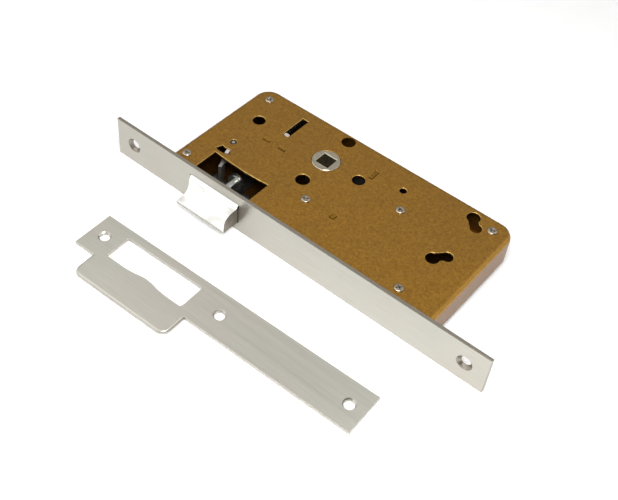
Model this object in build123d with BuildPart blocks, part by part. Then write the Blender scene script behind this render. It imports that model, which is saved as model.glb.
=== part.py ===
from build123d import *
from math import atan2, cos, degrees, radians, sin
import os

# Mortise lock with a spring latch, and its strike plate, in millimetres.
# The origin is the spindle axis at the middle of the case's thickness.  +X runs along the
# forend towards its far end, +Y goes into the door and +Z points out of the lock's upper face.

# forend
FOREND_LENGTH = 235
FOREND_WIDTH = 24
FOREND_THICKNESS = 2
BACKSET = 55
SPINDLE_FROM_END = 99
FOREND_HOLE_INSET = 12
WOOD_SCREW_R = 2.6
FOREND_COUNTERSINK_R = 4.3
COUNTERSINK_ANGLE = 90
PLATE_EDGE_R = 0.25

# case
CASE_LENGTH = 165
CASE_START_X = -62.7
CASE_REAR_Y = 26
CASE_THICKNESS = 16
SHEET = 1.2
REAR_CORNER_R = 9
BEND_R = 2.8
PUNCHED_EDGE_R = 0.4
FLANGE_GAP = 0.2

# latch window, the same in both sides of the case
WINDOW_START_X = -46.7
WINDOW_END_X = -10.4
WINDOW_REAR_Y = -35
WINDOW_BOW = 0.9

# latch head
HEAD_CENTRE_X = -29.1
HEAD_WIDTH = 32.6
HEAD_LOW_Z = -6.3
HEAD_HIGH_Z = 6.2
HEAD_THROW = 11
HEAD_ROOT_DEPTH = 3
FOREND_CUTOUT_GAP = 0.4
CUTOUT_CORNER_R = 0.8
# the twisted anti-friction face: hollow at one end, full at the other (throw, height)
HOLLOW_FACE = ((0, 6.2), (1.5, 3.6), (1.8, 0.4), (3.4, -2.9), (6.4, -4.3), (11, -4.6))
FULL_FACE = ((0, 6.2), (1.6, 4.6), (4.6, 4.3), (8.2, 3.3), (10.4, 0), (11, -4.6))

# latch tail and carriage
TAIL_R = 2.5
TAIL_END_Y = -36.4
SPOOL_R = 4.5
SPOOL_CORE_R = 3.2
SPOOL_Y = -39.6
SPOOL_RIM = 0.8
SPOOL_GROOVE = 1.2
FORK_CLEARANCE = 0.1
CARRIAGE_GAP = 0.3
CARRIAGE_SHEET = 0.9
STRIP_WIDTH = 8
CARRIAGE_REAR_Y = 5
CARRIAGE_TOP_Z = 3
PIN_X = -28.1
PIN_Y = 1.5
PIN_LENGTH = 2.2
PIN_WIDTH = 3.2
PIN_CORNER_R = 0.9
PIN_TOP_Z = 7.7
SLOT_WIDTH = 3.8
SLOT_START_Y = 0.1
SLOT_END_Y = 17.7

# follower
FOLLOWER_BOSS_R = 7.75
BOSS_RUNNING_GAP = 0.05
BOSS_PROUD = 0.2
FOLLOWER_DISC_R = 10.5
FOLLOWER_DISC_HALF = 5.5
SPINDLE_SQUARE = 8
BOSS_CHAMFER = 0.35
ARM_HALF_THICKNESS = 3
ARM_LENGTH = 19
ARM_HALF_WIDTH = 1.7
ARM_NOSE_R = 2.3
FOLLOWER_TURN = 33
HEEL_LENGTH = 14
HEEL_HALF_WIDTH = 2.2
HEEL_ANGLE = 8
ARM_TO_LUG_GAP = 0.3
LUG_END_X = -17.4
LUG_THICKNESS = 2

# reversing catch
CATCH_X = -45
CATCH_Y = -22.6
CATCH_ANGLE = 19
CATCH_HUB_R = 4
CATCH_LOW_Z = 4.2
CATCH_SHEET = 1.2
CATCH_BAR_WIDTH = 2.6
CATCH_SLOT_INNER_R = 6.3
CATCH_SLOT_OUTER_R = 10.2
CATCH_SLOT_START = -22
CATCH_SLOT_END = 29
CATCH_LUG_LENGTH = 3.2
CATCH_LUG_WIDTH = 2
CATCH_LUG_TOP_Z = 7.8
FINGER_INNER_R = 13.5
FINGER_OUTER_R = 18.3
FINGER_THICKNESS = 1.8
FINGER_LOW_Z = -5
PIVOT_R = 1.5
PIVOT_HEAD_R = 3.2
PIVOT_TIP_R = 1
PIVOT_TIP_DROP = 0.4
PIVOT_HOLE_R = 1.8

# holes through both sides of the case
ROSE_HOLE_R = 3.9
ROSE_HOLE_Y = 19.6
PLATE_HOLE_R = 3.55
PLATE_HOLES_X = (-46.5, 21.5)
SIGHT_HOLE_R = 1.95
SIGHT_HOLE = (43, 9.7)
KIDNEY_NEAR = (80.4, 18.6)
KIDNEY_NEAR_R = 3.6
KIDNEY_FAR = (85.3, 13)
KIDNEY_FAR_R = 3.1
KIDNEY_NECK = 5
KIDNEY_NECK_SHIFT = 0.5

# case screws and their posts
SCREWS = ((-56.7, -46), (-53.5, 16.9), (10.2, -29.7), (50.1, -3), (92.4, 16.9), (79.3, -45.4))
SCREW_HEAD_R = 2.6
SCREW_HEAD_HEIGHT = 0.8
SCREW_HEAD_EDGE_R = 0.45
SCREW_SHANK_R = 1.45
SCREW_HOLE_R = 1.7
SCREW_TIP_Z = 0
RECESS_LENGTH = 2.8
RECESS_WIDTH = 0.6
RECESS_DEPTH = 0.9
POST_R = 3.2
POST_BORE_R = 1.5
POST_BORE_LOW_Z = -2

# brackets inside the case, with tabs that are staked through the cap
TAB_GAP = 0.22
GUIDE_Y = -9.3
GUIDE_START_X = -36.6
GUIDE_END_X = -19.8
GUIDE_NOTCH_TOP_Z = 4
GUIDE_NOTCH_GAP = 0.8
GUIDE_TABS_X = (-33.2, -22.7)
GUIDE_TAB_WIDTH = 3.8
STOP_X = 25.1
STOP_Y = 8.7
STOP_SHEET = 1.6
STOP_TAB_LENGTH = 6.5
STOP_FACE_Y = 4.6
STOP_FOOT_START_X = 13.5
BRACKET_TOP_Z = 4
SEAT_Y = -20
SEAT_START_X = 9.5
SEAT_TAB_X = 27.8
SEAT_TAB_Y = -29.6
SEAT_TAB_LENGTH = 3
SEAT_TAB_WIDTH = 2.4

# springs
CARRIAGE_SPRING_X = -35.6
CARRIAGE_SPRING_R = 2.9
CARRIAGE_SPRING_WIRE_R = 0.4
CARRIAGE_SPRING_TURNS = 7
SPRING_ROD_R = 1.5
SPRING_ROD_GAP = 0.35
SPRING_BRACKET_Y = 22.6
SPRING_EAR_END_X = -40
FOLLOWER_SPRING_X = 13.6
FOLLOWER_SPRING_R = 3
FOLLOWER_SPRING_WIRE_R = 0.4
FOLLOWER_SPRING_TURNS = 8
FOLLOWER_SPRING_LENGTH = 18.4

# guide rails beside the latch head
RAIL_THICKNESS = 1.6
RAIL_END_Y = -42.6
RAIL_GAP = 0.6
RAIL_TOP_Z = -1

# strike plate, lying flat in front of the lock
STRIKE_LENGTH = 170
STRIKE_WIDTH = 24
STRIKE_THICKNESS = 2
STRIKE_CENTRE = (18.9, -103.3)
STRIKE_TURN = 1.4
STRIKE_HOLE_SPACING = 76.5
STRIKE_COUNTERSINK_R = 3.4
STRIKE_SLOT_START = -66.9
STRIKE_SLOT_END = -17.3
STRIKE_SLOT_LOW = -8.3
STRIKE_SLOT_HIGH = 7.1
STRIKE_SLOT_CORNER_R = 1.5
STRIKE_BOW = 1.7
STRIKE_BOW_START = -55
STRIKE_BOW_END = -27
LIP_START = -72.4
LIP_END = -11.7
LIP_REACH = 26.4
LIP_CORNER_R = 5
LIP_EDGE_R = 1.2

# derived sizes
FRONT_Y = -BACKSET
BACK_Y = FRONT_Y + FOREND_THICKNESS
FOREND_START_X = -SPINDLE_FROM_END
FOREND_END_X = FOREND_START_X + FOREND_LENGTH
TOP_Z = CASE_THICKNESS / 2
INNER_Z = TOP_Z - SHEET
CASE_END_X = CASE_START_X + CASE_LENGTH
FLOOR_Z = -FOREND_WIDTH / 2
HEAD_START_X = HEAD_CENTRE_X - HEAD_WIDTH / 2
HEAD_END_X = HEAD_CENTRE_X + HEAD_WIDTH / 2
HEAD_REAR_Y = FRONT_Y + HEAD_ROOT_DEPTH
NOSE_Y = FRONT_Y - HEAD_THROW
STRIP_LOW_Z = -INNER_Z + CARRIAGE_GAP
STRIP_HIGH_Z = STRIP_LOW_Z + CARRIAGE_SHEET
STRIP_START_X = HEAD_CENTRE_X - STRIP_WIDTH / 2
STRIP_END_X = HEAD_CENTRE_X + STRIP_WIDTH / 2
ARM_REST_ANGLE = 180 + FOLLOWER_TURN / 2
LUG_FACE_Y = ARM_LENGTH * sin(radians(ARM_REST_ANGLE)) + ARM_NOSE_R + ARM_TO_LUG_GAP

os.makedirs("parts", exist_ok=True)


def save(part, name):
    part.label = name
    export_step(part, f"parts/{name}.step")


def box_between(low, high, mode=Mode.ADD):
    """A block between two corners, in the open part."""
    centre = [(a + b) / 2 for a, b in zip(low, high)]
    size = [b - a for a, b in zip(low, high)]
    with Locations(tuple(centre)):
        Box(*size, mode=mode)


def polar(radius, angle):
    """The point at this radius and angle from the spindle axis."""
    return (radius * cos(radians(angle)), radius * sin(radians(angle)))


def from_catch(radius, angle):
    """The point at this radius from the catch's pivot; the angle opens from -Y towards +X."""
    return (CATCH_X + radius * sin(radians(angle)), CATCH_Y - radius * cos(radians(angle)))


def rounded_outline(inset):
    """The case's outline in plan, open to the forend, with its two rear corners rounded."""
    start_x = CASE_START_X + inset
    end_x = CASE_END_X - inset
    rear_y = CASE_REAR_Y - inset
    with BuildSketch(mode=Mode.PRIVATE) as outline:
        with BuildLine():
            FilletPolyline(
                (start_x, BACK_Y),
                (start_x, rear_y),
                (end_x, rear_y),
                (end_x, BACK_Y),
                radius=REAR_CORNER_R - inset,
            )
            Line((end_x, BACK_Y), (start_x, BACK_Y))
        make_face()
    return outline.sketch


def kidney_hole(side):
    """One bent fixing hole: two round lobes, and a neck that is fuller towards the spindle."""
    near = Vector(KIDNEY_NEAR[0], side * KIDNEY_NEAR[1])
    far = Vector(KIDNEY_FAR[0], side * KIDNEY_FAR[1])
    run = far - near
    inward = Vector(-run.Y, run.X).normalized() * (-side * KIDNEY_NECK_SHIFT)
    with BuildSketch(mode=Mode.PRIVATE) as kidney:
        with Locations(near):
            Circle(KIDNEY_NEAR_R)
        with Locations(far):
            Circle(KIDNEY_FAR_R)
        with Locations((near + far) / 2 + inward):
            SlotCenterToCenter(run.length, KIDNEY_NECK, rotation=degrees(atan2(run.Y, run.X)))
    return kidney.sketch


def side_openings():
    """The window and the fixing holes that both sides of the case share."""
    middle_x = (WINDOW_START_X + WINDOW_END_X) / 2
    with BuildSketch(mode=Mode.PRIVATE) as openings:
        with BuildLine():
            Polyline(
                (WINDOW_START_X, WINDOW_REAR_Y),
                (WINDOW_START_X, BACK_Y),
                (WINDOW_END_X, BACK_Y),
                (WINDOW_END_X, WINDOW_REAR_Y),
            )
            ThreePointArc(
                (WINDOW_END_X, WINDOW_REAR_Y),
                (middle_x, WINDOW_REAR_Y - WINDOW_BOW),
                (WINDOW_START_X, WINDOW_REAR_Y),
            )
        make_face()
        Circle(FOLLOWER_BOSS_R + BOSS_RUNNING_GAP)
        with Locations((0, -ROSE_HOLE_Y), (0, ROSE_HOLE_Y)):
            Circle(ROSE_HOLE_R)
        with Locations(*[(x, 0) for x in PLATE_HOLES_X]):
            Circle(PLATE_HOLE_R)
        with Locations(SIGHT_HOLE):
            Circle(SIGHT_HOLE_R)
        for side in (1, -1):
            add(kidney_hole(side))
    return openings.sketch


def round_punched_rims(side_face):
    """Round the rims of the holes and of the window in this outer face of the case."""
    rims = side_face.inner_wires().edges()
    rims += side_face.outer_wire().edges().filter_by(
        lambda edge: BACK_Y < edge.center().Y < WINDOW_REAR_Y
    )
    fillet(rims, radius=PUNCHED_EDGE_R)


def coil(centre_x, start_y, length, coil_r, wire_r, turns):
    """A compression spring that lies along +Y from start_y."""
    rise = length - 2 * wire_r
    with BuildPart() as spring:
        with BuildLine():
            wire = Helix(rise / turns, rise, coil_r, (centre_x, start_y + wire_r, 0), (0, 1, 0))
        with BuildSketch(Plane(wire @ 0, z_dir=wire % 0)):
            Circle(wire_r)
        sweep(is_frenet=True)
    return spring.part


# forend: a flat plate across the front, with the latch cut-out and two countersunk holes
front_face = Plane((0, FRONT_Y, 0), x_dir=(1, 0, 0), z_dir=(0, -1, 0))
with BuildPart(front_face) as forend:
    with BuildSketch(front_face):
        with Locations(((FOREND_START_X + FOREND_END_X) / 2, 0)):
            Rectangle(FOREND_LENGTH, FOREND_WIDTH)
        with Locations((HEAD_CENTRE_X, (HEAD_LOW_Z + HEAD_HIGH_Z) / 2)):
            RectangleRounded(
                HEAD_WIDTH + 2 * FOREND_CUTOUT_GAP,
                HEAD_HIGH_Z - HEAD_LOW_Z + 2 * FOREND_CUTOUT_GAP,
                CUTOUT_CORNER_R,
                mode=Mode.SUBTRACT,
            )
    extrude(amount=-FOREND_THICKNESS)
    fillet(forend.faces().sort_by(Axis.Y)[0].outer_wire().edges(), radius=PLATE_EDGE_R)
    with Locations((FOREND_START_X + FOREND_HOLE_INSET, 0), (FOREND_END_X - FOREND_HOLE_INSET, 0)):
        CounterSinkHole(WOOD_SCREW_R, FOREND_COUNTERSINK_R, FOREND_THICKNESS, COUNTERSINK_ANGLE)
save(forend.part, "forend")

# base plate: the flat lower side, with flanges that stand up behind the forend
with BuildPart() as base_plate:
    with BuildSketch(Plane.XY.offset(-TOP_Z)):
        add(rounded_outline(0))
    extrude(amount=SHEET)
    inner_start_x = CASE_START_X + SHEET + FLANGE_GAP
    inner_end_x = CASE_END_X - SHEET - FLANGE_GAP
    for start_x, end_x in ((inner_start_x, WINDOW_START_X), (WINDOW_END_X, inner_end_x)):
        box_between(
            (start_x, BACK_Y, -INNER_Z),
            (end_x, BACK_Y + SHEET, INNER_Z - FLANGE_GAP),
        )
    with BuildSketch(Plane.XY.offset(-TOP_Z)):
        add(side_openings())
    extrude(amount=SHEET, mode=Mode.SUBTRACT)
    round_punched_rims(base_plate.faces().sort_by(Axis.Z)[0])
save(base_plate.part, "base_plate")

# case cap: the upper side and its three walls, drawn from one sheet
with BuildPart() as case_cap:
    with BuildSketch(Plane.XY.offset(-INNER_Z)):
        add(rounded_outline(0))
    extrude(amount=INNER_Z + TOP_Z)
    top_edges = case_cap.faces().sort_by(Axis.Z)[-1].edges()
    fillet(top_edges.sort_by(Axis.Y)[1:], radius=BEND_R)
    with BuildSketch(Plane.XY.offset(-INNER_Z)):
        add(rounded_outline(SHEET))
    extrude(amount=2 * INNER_Z, mode=Mode.SUBTRACT)
    with BuildSketch(Plane.XY.offset(INNER_Z)):
        add(side_openings())
        with Locations(*SCREWS):
            Circle(SCREW_HOLE_R)
        with Locations((CATCH_X, CATCH_Y)):
            Circle(PIVOT_HOLE_R)
        with Locations((PIN_X, (SLOT_START_Y + SLOT_END_Y) / 2)):
            Rectangle(SLOT_WIDTH, SLOT_END_Y - SLOT_START_Y)
        with Locations(*[(x, GUIDE_Y) for x in GUIDE_TABS_X]):
            Rectangle(GUIDE_TAB_WIDTH + 2 * TAB_GAP, SHEET + 2 * TAB_GAP)
        with Locations((STOP_X, STOP_Y)):
            Rectangle(STOP_SHEET + 2 * TAB_GAP, STOP_TAB_LENGTH + 2 * TAB_GAP)
        with Locations((SEAT_TAB_X, SEAT_TAB_Y)):
            Rectangle(SEAT_TAB_WIDTH + 2 * TAB_GAP, SEAT_TAB_LENGTH + 2 * TAB_GAP)
        with BuildLine():
            middle = (CATCH_SLOT_START + CATCH_SLOT_END) / 2
            inner = [from_catch(CATCH_SLOT_INNER_R, a) for a in (CATCH_SLOT_START, middle, CATCH_SLOT_END)]
            outer = [from_catch(CATCH_SLOT_OUTER_R, a) for a in (CATCH_SLOT_END, middle, CATCH_SLOT_START)]
            ThreePointArc(*inner)
            Line(inner[2], outer[0])
            ThreePointArc(*outer)
            Line(outer[2], inner[0])
        make_face()
    extrude(amount=SHEET, mode=Mode.SUBTRACT)
    round_punched_rims(case_cap.faces().sort_by(Axis.Z)[-1])
save(case_cap.part, "case_cap")

# posts on the base plate that take the case screws
with BuildPart() as case_posts:
    with BuildSketch(Plane.XY.offset(-INNER_Z)):
        with Locations(*SCREWS):
            Circle(POST_R)
    extrude(amount=2 * INNER_Z)
    with BuildSketch(Plane.XY.offset(POST_BORE_LOW_Z)):
        with Locations(*SCREWS):
            Circle(POST_BORE_R)
    extrude(amount=INNER_Z - POST_BORE_LOW_Z, mode=Mode.SUBTRACT)
save(case_posts.part, "case_posts")

# cross-recess screws that hold the cap
with BuildPart() as cap_screws:
    with BuildSketch(Plane.XY.offset(TOP_Z)):
        with Locations(*SCREWS):
            Circle(SCREW_HEAD_R)
    extrude(amount=SCREW_HEAD_HEIGHT)
    rims = cap_screws.faces().filter_by(Axis.Z).group_by(Axis.Z)[-1].edges()
    fillet(rims, radius=SCREW_HEAD_EDGE_R)
    with BuildSketch(Plane.XY.offset(SCREW_TIP_Z)):
        with Locations(*SCREWS):
            Circle(SCREW_SHANK_R)
    extrude(amount=TOP_Z - SCREW_TIP_Z)
    with BuildSketch(Plane.XY.offset(TOP_Z + SCREW_HEAD_HEIGHT - RECESS_DEPTH)):
        with Locations(*SCREWS):
            Rectangle(RECESS_LENGTH, RECESS_WIDTH)
            Rectangle(RECESS_WIDTH, RECESS_LENGTH)
    extrude(amount=RECESS_DEPTH, mode=Mode.SUBTRACT)
save(cap_screws.part, "cap_screws")

# rails on both sides of the latch head
with BuildPart() as latch_rails:
    for start_x, end_x in (
        (HEAD_START_X - RAIL_GAP - RAIL_THICKNESS, HEAD_START_X - RAIL_GAP),
        (HEAD_END_X + RAIL_GAP, HEAD_END_X + RAIL_GAP + RAIL_THICKNESS),
    ):
        box_between((start_x, BACK_Y + SHEET, -INNER_Z), (end_x, RAIL_END_Y, RAIL_TOP_Z))
save(latch_rails.part, "latch_rails")

# latch head: a twisted face lofted between its hollow end and its full end
with BuildPart() as latch_head:
    for head_x, face_points in ((HEAD_START_X, HOLLOW_FACE), (HEAD_END_X, FULL_FACE)):
        with BuildSketch(Plane.YZ.offset(head_x)):
            with BuildLine():
                face = Spline(*[(FRONT_Y - throw, height) for throw, height in face_points])
                Polyline(
                    face @ 1,
                    (NOSE_Y, HEAD_LOW_Z),
                    (FRONT_Y, HEAD_LOW_Z),
                    face @ 0,
                )
            make_face()
    loft(ruled=True)
    box_between(
        (HEAD_START_X, FRONT_Y, HEAD_LOW_Z),
        (HEAD_END_X, HEAD_REAR_Y, HEAD_HIGH_Z),
    )
save(latch_head.part, "latch_head")

# tail rod behind the head, with the spool that the carriage holds
behind_head = Plane((HEAD_CENTRE_X, HEAD_REAR_Y, 0), x_dir=(1, 0, 0), z_dir=(0, 1, 0))
with BuildPart() as tail_rod:
    with BuildSketch(behind_head):
        Circle(TAIL_R)
    extrude(amount=TAIL_END_Y - HEAD_REAR_Y)
save(tail_rod.part, "tail_rod")

spool_length = 2 * SPOOL_RIM + SPOOL_GROOVE
spool_front = Plane((HEAD_CENTRE_X, SPOOL_Y, 0), x_dir=(1, 0, 0), z_dir=(0, 1, 0))
with BuildPart() as tail_spool:
    for offset, radius, length in (
        (0, SPOOL_R, SPOOL_RIM),
        (SPOOL_RIM, SPOOL_CORE_R, SPOOL_GROOVE),
        (SPOOL_RIM + SPOOL_GROOVE, SPOOL_R, SPOOL_RIM),
    ):
        with BuildSketch(spool_front.offset(offset)):
            Circle(radius)
        extrude(amount=length)
    with BuildSketch(spool_front):
        Circle(TAIL_R)
    extrude(amount=spool_length, mode=Mode.SUBTRACT)
save(tail_spool.part, "tail_spool")

# carriage: a folded strip with a fork in the spool's groove, a lug for the follower's arm
# and an ear for its spring
fork_start_y = SPOOL_Y + SPOOL_RIM + FORK_CLEARANCE
fork_end_y = SPOOL_Y + SPOOL_RIM + SPOOL_GROOVE - FORK_CLEARANCE
with BuildPart() as latch_carriage:
    box_between(
        (STRIP_START_X, fork_start_y, STRIP_LOW_Z),
        (STRIP_END_X, CARRIAGE_REAR_Y, STRIP_HIGH_Z),
    )
    box_between((STRIP_START_X, fork_start_y, STRIP_LOW_Z), (STRIP_END_X, fork_end_y, 0))
    with BuildSketch(Plane((HEAD_CENTRE_X, fork_start_y, 0), x_dir=(1, 0, 0), z_dir=(0, 1, 0))):
        Circle(SPOOL_CORE_R + FORK_CLEARANCE)
    extrude(amount=fork_end_y - fork_start_y, mode=Mode.SUBTRACT)
    box_between(
        (STRIP_END_X, LUG_FACE_Y, STRIP_LOW_Z),
        (LUG_END_X, CARRIAGE_REAR_Y, STRIP_HIGH_Z),
    )
    box_between(
        (STRIP_END_X, LUG_FACE_Y, STRIP_LOW_Z),
        (LUG_END_X, LUG_FACE_Y + LUG_THICKNESS, CARRIAGE_TOP_Z),
    )
    box_between(
        (SPRING_EAR_END_X, CARRIAGE_REAR_Y - SHEET, STRIP_LOW_Z),
        (STRIP_START_X, CARRIAGE_REAR_Y, CARRIAGE_TOP_Z),
    )
    rod_hole = Plane((CARRIAGE_SPRING_X, CARRIAGE_REAR_Y, 0), x_dir=(1, 0, 0), z_dir=(0, -1, 0))
    with BuildSketch(rod_hole):
        Circle(SPRING_ROD_R + SPRING_ROD_GAP)
    extrude(amount=SHEET, mode=Mode.SUBTRACT)
save(latch_carriage.part, "latch_carriage")

# guide pin on the carriage, which slides in the cap's long slot
with BuildPart() as carriage_pin:
    with BuildSketch(Plane.XY.offset(STRIP_HIGH_Z)):
        with Locations((PIN_X, PIN_Y)):
            RectangleRounded(PIN_WIDTH, PIN_LENGTH, PIN_CORNER_R)
    extrude(amount=PIN_TOP_Z - STRIP_HIGH_Z)
save(carriage_pin.part, "carriage_pin")

# arch that keeps the carriage straight, staked through the cap by two tabs
with BuildPart() as carriage_guide:
    box_between(
        (GUIDE_START_X, GUIDE_Y - SHEET / 2, -INNER_Z),
        (GUIDE_END_X, GUIDE_Y + SHEET / 2, INNER_Z),
    )
    box_between(
        (STRIP_START_X - GUIDE_NOTCH_GAP, GUIDE_Y - SHEET / 2, -INNER_Z),
        (STRIP_END_X + GUIDE_NOTCH_GAP, GUIDE_Y + SHEET / 2, GUIDE_NOTCH_TOP_Z),
        mode=Mode.SUBTRACT,
    )
    for tab_x in GUIDE_TABS_X:
        box_between(
            (tab_x - GUIDE_TAB_WIDTH / 2, GUIDE_Y - SHEET / 2, INNER_Z),
            (tab_x + GUIDE_TAB_WIDTH / 2, GUIDE_Y + SHEET / 2, TOP_Z),
        )
save(carriage_guide.part, "carriage_guide")

# bracket and rod of the carriage spring
with BuildPart() as spring_bracket:
    box_between(
        (SPRING_EAR_END_X, SPRING_BRACKET_Y, -INNER_Z),
        (STRIP_START_X + SHEET, SPRING_BRACKET_Y + SHEET, CARRIAGE_TOP_Z),
    )
    bracket_face = Plane((CARRIAGE_SPRING_X, SPRING_BRACKET_Y, 0), x_dir=(1, 0, 0), z_dir=(0, 1, 0))
    with BuildSketch(bracket_face):
        Circle(SPRING_ROD_R)
    extrude(amount=SHEET, mode=Mode.SUBTRACT)
save(spring_bracket.part, "spring_bracket")

with BuildPart() as spring_rod:
    with BuildSketch(Plane((CARRIAGE_SPRING_X, 0, 0), x_dir=(1, 0, 0), z_dir=(0, 1, 0))):
        Circle(SPRING_ROD_R)
    extrude(amount=SPRING_BRACKET_Y + SHEET)
save(spring_rod.part, "spring_rod")

carriage_spring_length = SPRING_BRACKET_Y - CARRIAGE_REAR_Y
save(
    coil(
        CARRIAGE_SPRING_X,
        CARRIAGE_REAR_Y,
        carriage_spring_length,
        CARRIAGE_SPRING_R,
        CARRIAGE_SPRING_WIRE_R,
        CARRIAGE_SPRING_TURNS,
    ),
    "carriage_spring",
)

# follower: the hub with its square spindle hole, the arm that draws the latch and a heel
with BuildPart() as follower:
    with BuildSketch(Plane.XY.offset(-FOLLOWER_DISC_HALF)):
        Circle(FOLLOWER_DISC_R)
    extrude(amount=2 * FOLLOWER_DISC_HALF)
    with BuildSketch(Plane.XY.offset(-TOP_Z - BOSS_PROUD)):
        Circle(FOLLOWER_BOSS_R)
    extrude(amount=2 * (TOP_Z + BOSS_PROUD))
    with BuildSketch(Plane.XY.offset(-ARM_HALF_THICKNESS)):
        with Locations(polar(ARM_LENGTH, ARM_REST_ANGLE)):
            Circle(ARM_NOSE_R)
        with Locations(polar(ARM_LENGTH / 2, ARM_REST_ANGLE)):
            Rectangle(ARM_LENGTH, 2 * ARM_HALF_WIDTH, rotation=ARM_REST_ANGLE)
        with Locations(polar(HEEL_LENGTH, HEEL_ANGLE)):
            Circle(HEEL_HALF_WIDTH)
        with Locations(polar(HEEL_LENGTH / 2, HEEL_ANGLE)):
            Rectangle(HEEL_LENGTH, 2 * HEEL_HALF_WIDTH, rotation=HEEL_ANGLE)
    extrude(amount=2 * ARM_HALF_THICKNESS)
    with BuildSketch(Plane.XY.offset(-TOP_Z - BOSS_PROUD)):
        Rectangle(SPINDLE_SQUARE, SPINDLE_SQUARE)
    extrude(amount=2 * (TOP_Z + BOSS_PROUD), mode=Mode.SUBTRACT)
    for boss_face in (follower.faces().sort_by(Axis.Z)[0], follower.faces().sort_by(Axis.Z)[-1]):
        chamfer(boss_face.edges(), length=BOSS_CHAMFER)
save(follower.part, "follower")

# stop behind the follower's heel, staked through the cap
with BuildPart() as follower_stop:
    box_between(
        (STOP_FOOT_START_X, STOP_FACE_Y, -INNER_Z),
        (STOP_X + STOP_SHEET / 2, STOP_FACE_Y + STOP_SHEET, BRACKET_TOP_Z),
    )
    box_between(
        (STOP_X - STOP_SHEET / 2, STOP_FACE_Y, -INNER_Z),
        (STOP_X + STOP_SHEET / 2, STOP_Y + STOP_TAB_LENGTH / 2, INNER_Z),
    )
    box_between(
        (STOP_X - STOP_SHEET / 2, STOP_Y - STOP_TAB_LENGTH / 2, INNER_Z),
        (STOP_X + STOP_SHEET / 2, STOP_Y + STOP_TAB_LENGTH / 2, TOP_Z),
    )
save(follower_stop.part, "follower_stop")

# seat of the follower spring, staked through the cap
with BuildPart() as spring_seat:
    seat_end_x = SEAT_TAB_X + SEAT_TAB_WIDTH / 2
    tab_start_y = SEAT_TAB_Y - SEAT_TAB_LENGTH / 2
    box_between((SEAT_START_X, SEAT_Y - SHEET, -INNER_Z), (seat_end_x, SEAT_Y, BRACKET_TOP_Z))
    box_between(
        (seat_end_x - SHEET, tab_start_y, -INNER_Z),
        (seat_end_x, SEAT_Y, BRACKET_TOP_Z),
    )
    box_between(
        (seat_end_x - SEAT_TAB_WIDTH, tab_start_y, -INNER_Z),
        (seat_end_x, tab_start_y + SEAT_TAB_LENGTH, TOP_Z),
    )
save(spring_seat.part, "spring_seat")

save(
    coil(
        FOLLOWER_SPRING_X,
        SEAT_Y,
        FOLLOWER_SPRING_LENGTH,
        FOLLOWER_SPRING_R,
        FOLLOWER_SPRING_WIRE_R,
        FOLLOWER_SPRING_TURNS,
    ),
    "follower_spring",
)

# reversing catch: a lever under the cap with a lug in the curved slot and a finger behind the latch
lug_middle_r = (CATCH_SLOT_INNER_R + CATCH_SLOT_OUTER_R) / 2
finger_middle_r = (FINGER_INNER_R + FINGER_OUTER_R) / 2
along_bar = CATCH_ANGLE - 90
with BuildPart() as reversing_catch:
    with BuildSketch(Plane.XY.offset(CATCH_LOW_Z)):
        with Locations((CATCH_X, CATCH_Y)):
            Circle(CATCH_HUB_R)
        with Locations(from_catch(FINGER_INNER_R / 2, CATCH_ANGLE)):
            Rectangle(FINGER_INNER_R, CATCH_BAR_WIDTH, rotation=along_bar)
        with Locations((CATCH_X, CATCH_Y)):
            Circle(PIVOT_R + BOSS_RUNNING_GAP, mode=Mode.SUBTRACT)
    extrude(amount=CATCH_SHEET)
    with BuildSketch(Plane.XY.offset(CATCH_LOW_Z)):
        with Locations(from_catch(lug_middle_r, CATCH_ANGLE)):
            Rectangle(CATCH_LUG_LENGTH, CATCH_LUG_WIDTH, rotation=along_bar)
    extrude(amount=CATCH_LUG_TOP_Z - CATCH_LOW_Z)
    with BuildSketch(Plane.XY.offset(FINGER_LOW_Z)):
        with Locations(from_catch(finger_middle_r, CATCH_ANGLE)):
            Rectangle(FINGER_OUTER_R - FINGER_INNER_R, FINGER_THICKNESS, rotation=along_bar)
    extrude(amount=CATCH_LOW_Z + CATCH_SHEET - FINGER_LOW_Z)
save(reversing_catch.part, "reversing_catch")

# rivet that the catch turns on, and the washer above the lever
rivet_head_z = CATCH_LOW_Z - SHEET
washer_low_z = CATCH_LOW_Z + CATCH_SHEET + FLANGE_GAP
with BuildPart() as catch_rivet:
    for radius, low_z, high_z in (
        (PIVOT_HEAD_R, rivet_head_z, CATCH_LOW_Z - FLANGE_GAP),
        (PIVOT_R, CATCH_LOW_Z - FLANGE_GAP, washer_low_z),
        (PIVOT_TIP_R, washer_low_z, TOP_Z - PIVOT_TIP_DROP),
    ):
        with BuildSketch(Plane.XY.offset(low_z)):
            with Locations((CATCH_X, CATCH_Y)):
                Circle(radius)
        extrude(amount=high_z - low_z)
save(catch_rivet.part, "catch_rivet")

with BuildPart() as catch_washer:
    with BuildSketch(Plane.XY.offset(washer_low_z)):
        with Locations((CATCH_X, CATCH_Y)):
            Circle(CATCH_HUB_R)
            Circle(PIVOT_R, mode=Mode.SUBTRACT)
    extrude(amount=INNER_Z - washer_low_z)
save(catch_washer.part, "catch_washer")

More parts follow.
